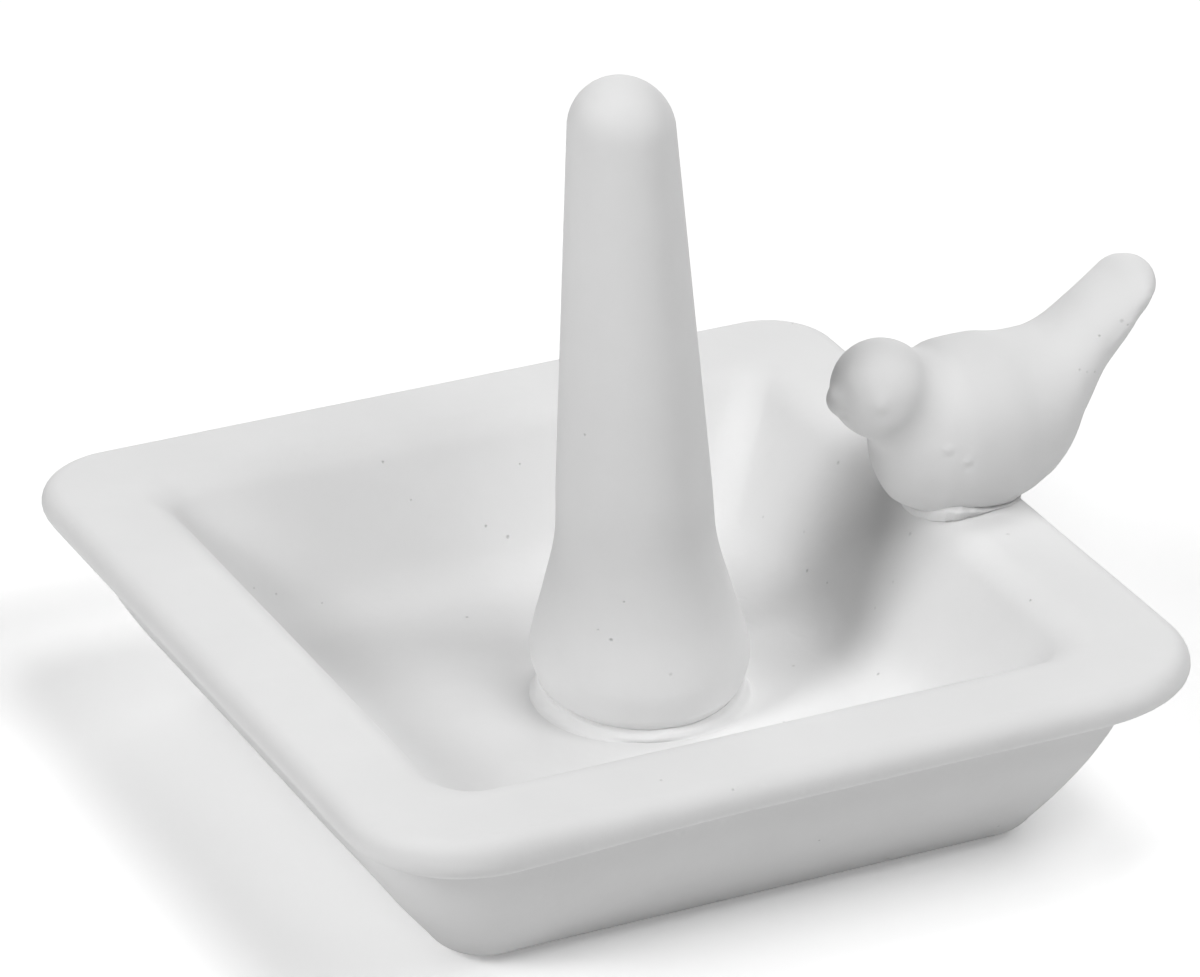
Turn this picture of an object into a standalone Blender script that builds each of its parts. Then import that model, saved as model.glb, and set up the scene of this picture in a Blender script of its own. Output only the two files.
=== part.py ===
"""Ring holder: a square ceramic dish with a ring post standing in it and a small bird sitting on its rim.

Metres, +Z up. The origin is the middle of the dish's underside. The dish, the post and the bird are three
castings of unglazed clay, luted together with joining slip. The bird sits on the +X rim and faces the post.
"""

import math

import bmesh
import bpy
from mathutils import Matrix, Vector
from mathutils.geometry import interpolate_bezier

# Shared clearance and overrun
GAP = 0.0003
OVERRUN = 0.004

# Dish
DISH_WIDTH = 0.102
DISH_DEPTH = 0.0248
DISH_CORNER_RADIUS = 0.0134
BASE_INSET = 0.0155
BASE_ROUNDING = 0.0061
BASE_CORNER_RADIUS = 0.005
WALL_BULGE = 0.0008
LIP_THICKNESS = 0.0044
LIP_OVERHANG = 0.0024
LIP_CORNER_RADIUS = 0.018
RIM_FLAT_WIDTH = 0.0089
RIM_INNER_ROUNDING = 0.0051
INNER_CORNER_RADIUS = 0.0055
FLOOR_THICKNESS = 0.0088
FLOOR_ROUNDING = 0.0076
FLOOR_CORNER_RADIUS = 0.0075

# The hand-made dish's corners differ: reach across and along from the middle, then rounding, each a share of
# the dish's. The back right corner comes first, then the back left, the near left and the near right.
CORNER_SHARES = (
    (1.000, 1.000, 0.60),
    (0.993, 1.012, 0.75),
    (1.000, 1.000, 0.95),
    (1.000, 1.000, 1.00),
)

# Ring post, with heights measured from the dish's floor
POST_HEIGHT = 0.0755
POST_TOP_RADIUS = 0.0060
POST_TOP_HEIGHT = 0.0695
POST_NECK_RADIUS = 0.0091
POST_NECK_HEIGHT = 0.0198
BULB_RADIUS = 0.0124
BULB_HEIGHT = 0.0062
FOOT_RADIUS = 0.0110
POST_X = 0.0031
POST_Y = -0.0019
LEAN_ANGLE = math.radians(2.7)
LEAN_BEARING = math.radians(153)

# Hollow inside the post, and the vent under it
CORE_FOOT_RADIUS = 0.0050
CORE_TOP_RADIUS = 0.0026
POST_CROWN_WALL = 0.0060
VENT_RADIUS = 0.0015
VENT_OFFSET = 0.0030

# Slip round the post's foot
POST_SLIP_HEIGHT = 0.0020
POST_SLIP_WIDTH = 0.0013

# Bird, with heights measured from the rim's top and places along the rim's width from the bird's middle
BIRD_INSET = 0.0065
BODY_START_X = -0.0114
BODY_LENGTH = 0.0354
BODY_HEIGHT = 0.0251
BODY_WIDTH = 0.0184
HEAD_RADIUS = 0.0059
HEAD_X = -0.0108
HEAD_HEIGHT = 0.0150
BEAK_X = -0.0148
BEAK_HEIGHT = 0.0147
BEAK_LENGTH = 0.0060
BEAK_WIDTH = 0.0048
BIRD_SKIN_CELL = 0.0011
BIRD_CORE_LENGTH = 0.0140
BIRD_CORE_WIDTH = 0.0090
BIRD_CORE_HEIGHT = 0.0090
BIRD_VENT_RADIUS = 0.0015

# Slip round the bird's seat
BIRD_SLIP_WIDTH = 0.0006

# Bird's body from breast to tail tip: place along its length, then top and bottom as shares of its height
# over the rim, and half width as a share of half its greatest width
BODY_STATION_SHARES = (
    (0.000, 0.348, 0.348, 0.000),
    (0.023, 0.466, 0.151, 0.347),
    (0.069, 0.578, 0.031, 0.585),
    (0.140, 0.680, -0.028, 0.804),
    (0.226, 0.747, -0.070, 0.946),
    (0.327, 0.758, -0.091, 1.000),
    (0.427, 0.746, -0.084, 0.993),
    (0.513, 0.729, -0.039, 0.943),
    (0.599, 0.732, 0.048, 0.873),
    (0.685, 0.786, 0.245, 0.717),
    (0.771, 0.871, 0.465, 0.609),
    (0.857, 0.936, 0.642, 0.614),
    (0.928, 0.990, 0.781, 0.590),
    (0.974, 0.988, 0.857, 0.416),
    (1.000, 0.969, 0.969, 0.000),
)

# Finish
CLAY_COLOUR = (0.80, 0.80, 0.79)
CLAY_ROUGHNESS = 0.75
SLIP_COLOUR = (0.82, 0.82, 0.81)
SLIP_ROUGHNESS = 0.70

# Counts
CORNER_STEPS = 8
ARC_STEPS = 7
WALL_STEPS = 4
LIP_STEPS = 10
POST_SIDES = 40
POST_CURVE_STEPS = 5
SLIP_CURVE_STEPS = 3
VENT_SIDES = 24
BIRD_SIDES = 24
BIRD_CURVE_STEPS = 3
SKIN_SMOOTHING = 4


def clear_scene():
    for old in list(bpy.data.objects):
        bpy.data.objects.remove(old, do_unlink=True)


def bisque(name, colour, roughness):
    """Unglazed fired clay."""
    material = bpy.data.materials.new(name)
    material.use_nodes = True
    shader = material.node_tree.nodes["Principled BSDF"]
    shader.inputs["Base Color"].default_value = (*colour, 1)
    shader.inputs["Roughness"].default_value = roughness
    shader.inputs["Metallic"].default_value = 0
    material.diffuse_color = (*colour, 1)
    return material


def make_object(name, bm, parent=None, material=None, location=(0, 0, 0)):
    """One object from a finished bmesh, its faces pointing outwards and its rounds shaded smooth."""
    bmesh.ops.recalc_face_normals(bm, faces=bm.faces)
    mesh = bpy.data.meshes.new(name)
    bm.to_mesh(mesh)
    bm.free()
    mesh.shade_smooth()
    obj = bpy.data.objects.new(name, mesh)
    bpy.context.scene.collection.objects.link(obj)
    obj.parent = parent
    obj.location = location
    if material:
        mesh.materials.append(material)
    return obj


def hide_cutter(obj):
    obj.hide_render = True
    obj.display_type = "WIRE"
    return obj


def boolean(obj, other, operation):
    modifier = obj.modifiers.new(other.name, "BOOLEAN")
    modifier.operation = operation
    modifier.solver = "EXACT"
    modifier.object = other


def arc(centre, radius, start, end, steps):
    """Points (across, up) on an arc, its two ends included."""
    points = []
    for i in range(steps + 1):
        angle = start + (end - start) * i / steps
        points.append((centre[0] + radius * math.cos(angle), centre[1] + radius * math.sin(angle)))
    return points


def smooth_curve(stations, steps):
    """A smooth curve through all the stations, which are Vectors, with the given steps in each span."""
    points = [stations[0]]
    for i in range(len(stations) - 1):
        before = stations[max(i - 1, 0)]
        start = stations[i]
        end = stations[i + 1]
        after = stations[min(i + 2, len(stations) - 1)]
        reach = (end - start).length / 3
        leave = start + (end - before).normalized() * reach
        arrive = end - (after - start).normalized() * reach
        span = interpolate_bezier(start.to_3d(), leave.to_3d(), arrive.to_3d(), end.to_3d(), steps + 1)
        points += span[1:]
    return points


def skin(rings):
    """A closed skin through rings of points: a first ring extruded from each ring to the next, with a cap at
    both ends. Returns it with its two caps."""
    bm = bmesh.new()
    ring = [bm.verts.new(point) for point in rings[0]]
    edges = [bm.edges.new(pair) for pair in zip(ring, ring[1:] + ring[:1])]
    caps = bmesh.ops.contextual_create(bm, geom=edges)["faces"]
    for points in rings[1:]:
        grown = set(bmesh.ops.extrude_edge_only(bm, edges=edges)["geom"])
        ring = [next_vertex(vertex, grown) for vertex in ring]
        edges = [bm.edges.get(pair) for pair in zip(ring, ring[1:] + ring[:1])]
        for vertex, point in zip(ring, points):
            vertex.co = point
    caps += bmesh.ops.contextual_create(bm, geom=edges)["faces"]
    return bm, caps


def next_vertex(vertex, grown):
    """The vertex that an extrusion has made from this one."""
    ends = [edge.other_vert(vertex) for edge in vertex.link_edges]
    return next(end for end in ends if end in grown)


def rounded_square(half, rounding, height, growth):
    """A ring of points round the dish, of this half width and corner rounding, moved outwards by growth."""
    ring = []
    for corner, (across_share, along_share, rounding_share) in enumerate(CORNER_SHARES):
        middle = math.radians(45) + corner * math.radians(90)
        radius = rounding * rounding_share
        across = math.copysign(half * across_share - radius, math.cos(middle))
        along = math.copysign(half * along_share - radius, math.sin(middle))
        start = middle - math.radians(45)
        for x, y in arc((across, along), radius + growth, start, start + math.radians(90), CORNER_STEPS):
            ring.append((x, y, height))
    return ring


def between(value, low, high, at_low, at_high):
    """at_low at low, at_high at high, and straight between and beyond them."""
    return at_low + (at_high - at_low) * (value - low) / (high - low)


def dish_section():
    """The dish's wall in section, as (half width, corner rounding, height), from under the base over the rim
    to the floor."""
    lip_radius = LIP_THICKNESS / 2
    lip_centre = (DISH_WIDTH / 2 - lip_radius, DISH_DEPTH - lip_radius)
    lip_end = -math.acos((lip_radius - LIP_OVERHANG) / lip_radius)
    lip = arc(lip_centre, lip_radius, lip_end, math.radians(90), LIP_STEPS)
    crease = Vector(lip[0])
    base_half = DISH_WIDTH / 2 - BASE_INSET
    slope = math.atan2(crease.y, crease.x - base_half)
    flat_base = base_half - BASE_ROUNDING * math.tan(slope / 2)
    base_centre = (flat_base, BASE_ROUNDING)
    base = arc(base_centre, BASE_ROUNDING, -math.radians(90), slope - math.radians(90), ARC_STEPS)
    wall_foot = Vector(base[-1])
    wall = []
    for i in range(1, WALL_STEPS):
        share = i / WALL_STEPS
        bulge = Vector((math.sin(slope), -math.cos(slope))) * WALL_BULGE * math.sin(math.radians(180) * share)
        wall.append(wall_foot.lerp(crease, share) + bulge)
    rim_end = DISH_WIDTH / 2 - RIM_FLAT_WIDTH
    rim_centre = (rim_end, DISH_DEPTH - RIM_INNER_ROUNDING)
    rim = arc(rim_centre, RIM_INNER_ROUNDING, math.radians(90), math.radians(90) + slope, ARC_STEPS)
    fall = rim[-1][1] - FLOOR_THICKNESS - FLOOR_ROUNDING
    floor_edge = rim[-1][0] - (FLOOR_ROUNDING + fall * math.cos(slope)) / math.sin(slope)
    floor_centre = (floor_edge, FLOOR_THICKNESS + FLOOR_ROUNDING)
    floor = arc(floor_centre, FLOOR_ROUNDING, slope - math.radians(90), -math.radians(90), ARC_STEPS)
    section = []
    for half, height in base + wall:
        rounding = between(half, base_half, crease.x, BASE_CORNER_RADIUS, LIP_CORNER_RADIUS)
        section.append((half, max(rounding, BASE_CORNER_RADIUS), height))
    for half, height in lip:
        if height < lip_centre[1]:
            rounding = between(half, crease.x, DISH_WIDTH / 2, LIP_CORNER_RADIUS, DISH_CORNER_RADIUS)
        else:
            rounding = DISH_CORNER_RADIUS - (DISH_WIDTH / 2 - half)
        section.append((half, rounding, height))
    for half, height in rim + floor:
        rounding = between(half, floor_edge, rim_end, FLOOR_CORNER_RADIUS, INNER_CORNER_RADIUS)
        section.append((half, rounding, height))
    return section


def dish_mesh(growth=0.0):
    """The dish's solid, with its skin moved outwards from the clay by growth, square to the section."""
    section = dish_section()
    rings = []
    for i, (half, rounding, height) in enumerate(section):
        before = section[max(i - 1, 0)]
        after = section[min(i + 1, len(section) - 1)]
        along = Vector((after[0] - before[0], after[2] - before[2])).normalized()
        rings.append(rounded_square(half, rounding, height - along.x * growth, along.y * growth))
    bm, _ = skin(rings)
    return bm


def vent_mesh(radius, bottom, top, x=0.0, y=0.0):
    bm = bmesh.new()
    middle = Matrix.Translation((x, y, (bottom + top) / 2))
    bmesh.ops.create_cone(
        bm,
        cap_ends=True,
        segments=VENT_SIDES,
        radius1=radius,
        radius2=radius,
        depth=top - bottom,
        matrix=middle,
    )
    return bm


def turn(bm, outline):
    """Turns an outline of (radius, height) points once round Z. A point on the axis closes an end."""
    verts = [bm.verts.new((radius, 0, height)) for radius, height in outline]
    edges = [bm.edges.new(pair) for pair in zip(verts, verts[1:])]
    bmesh.ops.spin(
        bm,
        geom=verts + edges,
        cent=(0, 0, 0),
        axis=(0, 0, 1),
        angle=math.radians(360),
        steps=POST_SIDES,
        use_merge=True,
    )
    bmesh.ops.remove_doubles(bm, verts=bm.verts, dist=GAP / 10)


def lean(bm):
    """Leans a shape that stands on Z = 0, keeping each level round."""
    run = math.tan(LEAN_ANGLE)
    shear = Matrix.Identity(4)
    shear[0][2] = run * math.cos(LEAN_BEARING)
    shear[1][2] = run * math.sin(LEAN_BEARING)
    bmesh.ops.transform(bm, matrix=shear, verts=bm.verts)


def post_outline():
    """The post's side from its foot up to its crown, as (radius, height), then the round crown."""
    stations = [
        Vector((FOOT_RADIUS, 0)),
        Vector((BULB_RADIUS, BULB_HEIGHT)),
        Vector(((BULB_RADIUS + POST_NECK_RADIUS) / 2, (BULB_HEIGHT + POST_NECK_HEIGHT) / 2)),
        Vector((POST_NECK_RADIUS, POST_NECK_HEIGHT)),
        Vector((POST_TOP_RADIUS, POST_TOP_HEIGHT)),
    ]
    side = [(point.x, point.y) for point in smooth_curve(stations, POST_CURVE_STEPS)]
    crown = []
    for x, z in arc((0, 0), 1, 0, math.radians(90), POST_CURVE_STEPS):
        crown.append((POST_TOP_RADIUS * x, POST_TOP_HEIGHT + (POST_HEIGHT - POST_TOP_HEIGHT) * z))
    crown[-1] = (0, POST_HEIGHT)
    return side + crown[1:]


def radius_at(outline, height):
    """The outline's radius at a height, between its two nearest points."""
    for (low_radius, low), (high_radius, high) in zip(outline, outline[1:]):
        if low <= height <= high:
            return between(height, low, high, low_radius, high_radius)
    return outline[-1][0]


def build_dish(root, clay):
    dish = make_object("dish", dish_mesh(), root, clay)
    dish.data.set_sharp_from_angle(angle=math.radians(40))
    vent = vent_mesh(VENT_RADIUS, -OVERRUN, FLOOR_THICKNESS + OVERRUN, POST_X + VENT_OFFSET, POST_Y)
    boolean(dish, hide_cutter(make_object("vent_cutter", vent, root)), "DIFFERENCE")


def build_post(root, clay):
    foot = (POST_X, POST_Y, FLOOR_THICKNESS + GAP)
    bm = bmesh.new()
    turn(bm, [(0, 0)] + post_outline())
    lean(bm)
    post = make_object("ring_post", bm, root, clay, foot)
    post.data.set_sharp_from_angle(angle=math.radians(50))
    core = bmesh.new()
    core_top = POST_HEIGHT - POST_CROWN_WALL
    outline = [(0, -OVERRUN), (CORE_FOOT_RADIUS, -OVERRUN), (CORE_FOOT_RADIUS, BULB_HEIGHT)]
    for x, z in arc((0, 0), CORE_TOP_RADIUS, 0, math.radians(90), POST_CURVE_STEPS):
        outline.append((x, core_top - CORE_TOP_RADIUS + z))
    outline[-1] = (0, core_top)
    turn(core, outline)
    lean(core)
    boolean(post, hide_cutter(make_object("post_core_cutter", core, root, location=foot)), "DIFFERENCE")


def build_post_slip(root, slip):
    """The bead of slip in the corner between the bulb and the floor."""
    outline = post_outline()
    outer = FOOT_RADIUS + POST_SLIP_WIDTH + GAP
    inner = []
    for i in range(POST_CURVE_STEPS):
        height = POST_SLIP_HEIGHT * i / (POST_CURVE_STEPS - 1)
        inner.append((radius_at(outline, height) + GAP, height))
    crest = Vector(inner[-1])
    stations = [
        crest,
        Vector(((crest.x + outer) / 2, POST_SLIP_HEIGHT)),
        Vector((outer, POST_SLIP_HEIGHT / 2)),
        Vector((outer - GAP, 0)),
    ]
    bead = [(point.x, point.y) for point in smooth_curve(stations, SLIP_CURVE_STEPS)]
    bm = bmesh.new()
    turn(bm, inner + bead[1:] + inner[:1])
    lean(bm)
    make_object("post_slip_joint", bm, root, slip, (POST_X, POST_Y, FLOOR_THICKNESS + GAP))


def body_mesh():
    """The bird's body and tail: upright rings from breast to tail tip."""
    sections = []
    for along, top, bottom, half_width in BODY_STATION_SHARES:
        x = BODY_START_X + along * BODY_LENGTH
        top_point = Vector((x, top * BODY_HEIGHT))
        bottom_point = Vector((x, bottom * BODY_HEIGHT))
        side_point = Vector((x, half_width * BODY_WIDTH / 2))
        sections.append((top_point, bottom_point, side_point))
    tops, bottoms, widths = [smooth_curve(line, BIRD_CURVE_STEPS) for line in zip(*sections)]
    rings = []
    for top, bottom, side in list(zip(tops, bottoms, widths))[1:-1]:
        middle = (top.y + bottom.y) / 2
        high = (top.y - bottom.y) / 2
        ring = []
        for i in range(BIRD_SIDES):
            angle = math.radians(360) * i / BIRD_SIDES
            ring.append((top.x, side.y * math.sin(angle), middle + high * math.cos(angle)))
        rings.append(ring)
    bm, caps = skin(rings)
    for cap, end in zip(caps, (tops[0], tops[-1])):
        fan = bmesh.ops.poke(bm, faces=[cap])
        fan["verts"][0].co = (end.x, 0, end.y)
    return bm


def ball(x, height, length, width):
    """A ball, or an egg that is longer than it is wide, in the bird's middle plane."""
    bm = bmesh.new()
    stretch = Matrix.Diagonal((length / width, 1, 1, 1))
    bmesh.ops.create_uvsphere(
        bm,
        u_segments=BIRD_SIDES,
        v_segments=BIRD_SIDES // 2,
        radius=width / 2,
        matrix=Matrix.Translation((x, 0, height)) @ stretch,
    )
    return bm


def build_bird_form(name, root, seat):
    """The whole bird before its seat is cut: body and tail, head and beak made one skin."""
    form = make_object(name, body_mesh(), root, location=seat)
    head = ball(HEAD_X, HEAD_HEIGHT, HEAD_RADIUS * 2, HEAD_RADIUS * 2)
    beak = ball(BEAK_X, BEAK_HEIGHT, BEAK_LENGTH, BEAK_WIDTH)
    for piece, bm in (("head", head), ("beak", beak)):
        cutter = make_object(f"{name}_{piece}", bm, root, location=seat)
        boolean(form, hide_cutter(cutter), "UNION")
    remesh = form.modifiers.new("skin", "REMESH")
    remesh.mode = "VOXEL"
    remesh.voxel_size = BIRD_SKIN_CELL
    remesh.use_smooth_shade = True
    smooth = form.modifiers.new("smooth", "SMOOTH")
    smooth.factor = 0.5
    smooth.iterations = SKIN_SMOOTHING
    return form


def swell(obj, amount):
    """Moves the skin outwards by amount."""
    modifier = obj.modifiers.new("swell", "DISPLACE")
    modifier.strength = amount
    modifier.mid_level = 0


def build_bird(root, clay, seat, rim):
    bird = build_bird_form("bird", root, seat)
    bird.data.materials.append(clay)
    boolean(bird, rim, "DIFFERENCE")
    core = ball(0, BIRD_CORE_HEIGHT, BIRD_CORE_LENGTH, BIRD_CORE_WIDTH)
    boolean(bird, hide_cutter(make_object("bird_core_cutter", core, root, location=seat)), "DIFFERENCE")
    vent = vent_mesh(BIRD_VENT_RADIUS, -OVERRUN, BIRD_CORE_HEIGHT)
    boolean(bird, hide_cutter(make_object("bird_vent_cutter", vent, root, location=seat)), "DIFFERENCE")


def build_bird_slip(root, slip, seat, rim):
    """The bead of slip in the corner between the bird's belly and the rim."""
    bead = build_bird_form("bird_slip_joint", root, seat)
    bead.data.materials.append(slip)
    swell(bead, GAP + BIRD_SLIP_WIDTH)
    above = hide_cutter(make_object("slip_reach_cutter", dish_mesh(GAP + BIRD_SLIP_WIDTH), root))
    boolean(bead, above, "INTERSECT")
    boolean(bead, rim, "DIFFERENCE")
    belly = hide_cutter(build_bird_form("belly_cutter", root, seat))
    swell(belly, GAP)
    boolean(bead, belly, "DIFFERENCE")


def main():
    clear_scene()
    root = bpy.data.objects.new("ring_holder", None)
    bpy.context.scene.collection.objects.link(root)
    clay = bisque("bisque", CLAY_COLOUR, CLAY_ROUGHNESS)
    slip = bisque("joining_slip", SLIP_COLOUR, SLIP_ROUGHNESS)
    build_dish(root, clay)
    build_post(root, clay)
    build_post_slip(root, slip)
    seat = (DISH_WIDTH / 2 - BIRD_INSET, 0, DISH_DEPTH)
    rim = hide_cutter(make_object("rim_cutter", dish_mesh(GAP), root))
    build_bird(root, clay, seat, rim)
    build_bird_slip(root, slip, seat, rim)


main()
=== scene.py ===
"""Ring holder, dressed: a square bisque dish, a ring post standing in it and a small bird sitting on its rim.

Everything is in metres in the frame of the CAD: the origin is the middle of the dish's underside, +Z is up, the
bird sits on the +X rim and faces the post. Each class holds the sizes of one casting or one joint of slip.
"""

import enum
import logging
import math
from collections.abc import Callable, Sequence
from dataclasses import astuple, dataclass, replace
from typing import NamedTuple, TypeVar

import bmesh
import bpy
import numpy as np
from mathutils import Matrix, Vector, noise
from mathutils.bvhtree import BVHTree
from mathutils.geometry import interpolate_bezier


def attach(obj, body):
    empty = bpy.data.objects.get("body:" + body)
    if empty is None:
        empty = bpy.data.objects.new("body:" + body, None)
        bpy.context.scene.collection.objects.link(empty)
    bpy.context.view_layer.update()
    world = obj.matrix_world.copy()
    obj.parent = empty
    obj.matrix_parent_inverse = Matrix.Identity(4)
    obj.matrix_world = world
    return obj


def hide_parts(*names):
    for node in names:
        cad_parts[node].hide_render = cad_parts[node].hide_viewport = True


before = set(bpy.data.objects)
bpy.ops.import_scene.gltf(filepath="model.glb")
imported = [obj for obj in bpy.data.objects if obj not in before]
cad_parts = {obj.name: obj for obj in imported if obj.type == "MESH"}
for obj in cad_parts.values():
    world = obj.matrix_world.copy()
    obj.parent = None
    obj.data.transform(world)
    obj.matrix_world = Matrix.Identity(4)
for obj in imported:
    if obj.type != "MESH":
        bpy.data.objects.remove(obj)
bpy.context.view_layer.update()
log = logging.getLogger("ring_holder")

Ring = list[Vector]
Mesh = bmesh.types.BMesh
Piece = bpy.types.Object
Colour = tuple[float, float, float]
Pairs = tuple[tuple[float, float], ...]
Tree = bpy.types.NodeTree
Socket = bpy.types.NodeSocket
Configurable = TypeVar("Configurable")

ROOT = "root"
MM = 0.001
WELD = 1e-6
SMOOTHING = 0.5
QUARTER = math.radians(90)
WHITE = (1, 1, 1, 1)


class Slot(enum.Enum):
    """The record's material slots."""

    BISQUE = "bisque"
    SLIP = "joining_slip"


class Change(enum.Enum):
    """How one piece changes another."""

    JOIN = "UNION"
    CUT = "DIFFERENCE"


class Seed(enum.Enum):
    """The numbers that set one unevenness apart from another."""

    HAND = 3.0
    SEAT_HEIGHT = 4.0
    LUMP = 5.0
    BRUSH = 8.0
    SEAT_WIDTH = 11.0


# Shaping


def smoothstep(value: float, low: float, high: float) -> float:
    """Turns smoothly from 0, where the value is low, to 1, where it is high."""
    share = min(max((value - low) / (high - low), 0.0), 1.0)
    return share * share * (3 - 2 * share)


def between(value: float, low: float, high: float, at_low: float, at_high: float) -> float:
    """Goes straight from one result, where the value is low, to another, where it is high, and on beyond them."""
    return at_low + (at_high - at_low) * (value - low) / (high - low)


def heading(azimuth: float, elevation: float) -> Vector:
    """Gives the direction to a viewpoint, in radians. Its azimuth turns from -Y towards +X."""
    level = math.cos(elevation)
    return Vector((math.sin(azimuth) * level, -math.cos(azimuth) * level, math.sin(elevation)))


def arc(centre: Vector, radius: float, start: float, end: float, steps: int) -> Ring:
    """Lays points on an arc.

    Args:
        centre: The arc's middle, as (across, up).
        radius: Its radius.
        start: The first point's angle.
        end: The last point's angle.
        steps: The number of spans.

    Returns:
        The points, its two ends included.
    """
    points = []
    for i in range(steps + 1):
        angle = start + (end - start) * i / steps
        points.append(Vector((centre.x + radius * math.cos(angle), centre.y + radius * math.sin(angle))))
    return points


def smooth_curve(stations: Sequence[Vector], steps: int) -> Ring:
    """Draws a smooth curve through stations.

    Args:
        stations: The points that it goes through.
        steps: The number of spans between two stations.

    Returns:
        The curve's points, in 3-D.
    """
    points = [stations[0].to_3d()]
    for i in range(len(stations) - 1):
        before, start = stations[max(i - 1, 0)], stations[i]
        end, after = stations[i + 1], stations[min(i + 2, len(stations) - 1)]
        reach = (end - start).length / 3
        leave = start + (end - before).normalized() * reach
        arrive = end - (after - start).normalized() * reach
        span = interpolate_bezier(start.to_3d(), leave.to_3d(), arrive.to_3d(), end.to_3d(), steps + 1)
        points += span[1:]
    return points


def grown_vertex(vertex: bmesh.types.BMVert, grown: set) -> bmesh.types.BMVert:
    """Finds the vertex that an extrusion has made from another, among all that it has made."""
    ends = [edge.other_vert(vertex) for edge in vertex.link_edges]
    return next(end for end in ends if end in grown)


def skin(rings: Sequence[Ring], capped: bool) -> tuple[Mesh, list]:
    """Extrudes a ring of vertices from place to place.

    Args:
        rings: The places, all with the same number of points.
        capped: Closes the two end rings with a face each. Without that the last ring is the first one again, and
            they are welded.

    Returns:
        The mesh and its caps.
    """
    bm = bmesh.new()
    ring = [bm.verts.new(point) for point in rings[0]]
    edges = [bm.edges.new(pair) for pair in zip(ring, ring[1:] + ring[:1])]
    caps = bmesh.ops.contextual_create(bm, geom=edges)["faces"] if capped else []
    for points in rings[1:]:
        grown = set(bmesh.ops.extrude_edge_only(bm, edges=edges)["geom"])
        ring = [grown_vertex(vertex, grown) for vertex in ring]
        edges = [bm.edges.get(pair) for pair in zip(ring, ring[1:] + ring[:1])]
        for vertex, point in zip(ring, points):
            vertex.co = point
    if capped:
        caps += bmesh.ops.contextual_create(bm, geom=edges)["faces"]
    else:
        bmesh.ops.remove_doubles(bm, verts=bm.verts, dist=WELD)
    return bm, caps


def turned(outline: Sequence[Vector], sides: int) -> Mesh:
    """Turns an outline once round Z.

    Args:
        outline: Points (radius, height). One on the axis closes an end.
        sides: The number of steps in the turn.

    Returns:
        The turned mesh.
    """
    bm = bmesh.new()
    verts = [bm.verts.new((point.x, 0, point.y)) for point in outline]
    edges = [bm.edges.new(pair) for pair in zip(verts, verts[1:])]
    bmesh.ops.spin(bm, geom=verts + edges, axis=(0, 0, 1), angle=math.tau, steps=sides, use_merge=True)
    bmesh.ops.remove_doubles(bm, verts=bm.verts, dist=WELD)
    return bm


def finished(name: str, bm: Mesh) -> Piece:
    """Makes an object of a closed mesh, with its faces outwards and shaded smooth.

    Args:
        name: The object's name.
        bm: The mesh, which is used up.

    Returns:
        The object, at the origin.
    """
    bmesh.ops.recalc_face_normals(bm, faces=bm.faces)
    mesh = bpy.data.meshes.new(name)
    bm.to_mesh(mesh)
    bm.free()
    mesh.shade_smooth()
    piece = bpy.data.objects.new(name, mesh)
    bpy.context.scene.collection.objects.link(piece)
    return piece


def configured(item: Configurable, **settings: object) -> Configurable:
    """Makes the settings of an item.

    Args:
        item: A modifier, a node, a lamp or a camera.
        settings: What each of them is.

    Returns:
        The item.
    """
    for name, value in settings.items():
        setattr(item, name, value)
    return item


def add_boolean(piece: Piece, other: Piece, change: Change) -> None:
    """Joins a piece with another, or cuts it with the other, and hides the other."""
    configured(piece.modifiers.new(other.name, "BOOLEAN"), operation=change.value, solver="EXACT", object=other)
    other.hide_render = True


def bake(piece: Piece, *helpers: Piece) -> None:
    """Applies a piece's modifiers and removes the helpers that they used.

    Args:
        piece: The piece.
        helpers: The objects that are no longer needed.
    """
    graph = bpy.context.evaluated_depsgraph_get()
    mesh = bpy.data.meshes.new_from_object(piece.evaluated_get(graph), depsgraph=graph)
    piece.modifiers.clear()
    piece.data = mesh
    mesh.shade_smooth()
    for helper in helpers:
        bpy.data.objects.remove(helper, do_unlink=True)


def remesh(piece: Piece, cell: float, passes: int) -> None:
    """Gives a piece one even skin of faces of a size, and smooths it a number of times."""
    configured(piece.modifiers.new("skin", "REMESH"), mode="VOXEL", voxel_size=cell, use_smooth_shade=True)
    configured(piece.modifiers.new("smooth", "SMOOTH"), factor=SMOOTHING, iterations=passes)


def fill_creases(piece: Piece, middle: Vector, radius: float, reach: float, passes: int) -> None:
    """Fills the hollow creases near a ball on a piece, and leaves what stands proud as it is.

    Args:
        piece: The piece.
        middle: The ball's middle.
        radius: The distance at which the filling is fullest.
        reach: How far the filling goes inwards and outwards from there.
        passes: How many times it is smoothed.
    """
    mesh = piece.data
    count = len(mesh.vertices)
    points = np.empty(count * 3)
    mesh.vertices.foreach_get("co", points)
    points = points.reshape(-1, 3)
    edges = np.empty(len(mesh.edges) * 2, dtype=np.int32)
    mesh.edges.foreach_get("vertices", edges)
    near, far = edges.reshape(-1, 2).T
    ends = np.concatenate([near, far])
    others = np.concatenate([far, near])
    linked = np.bincount(ends, minlength=count)
    apart = np.abs(np.linalg.norm(points - np.array(middle), axis=1) - radius)
    weight = np.clip(1 - apart / reach, 0, 1)[:, None]
    normals = np.empty(count * 3)
    for _ in range(passes):
        mesh.vertices.foreach_set("co", points.ravel())
        mesh.update()
        mesh.vertex_normals.foreach_get("vector", normals)
        around = np.stack([np.bincount(ends, points[others, axis], count) for axis in range(3)], axis=1)
        move = around / linked[:, None] - points
        outward = np.sum(move * normals.reshape(-1, 3), axis=1) > 0
        points += move * weight * outward[:, None]
    mesh.vertices.foreach_set("co", points.ravel())
    mesh.update()


@dataclass(frozen=True)
class Mark:
    """A dent left on the clay by a finger or a tool, or a bump where its rise is above 0."""

    place: tuple[float, float, float]
    radius: float
    rise: float


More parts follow.
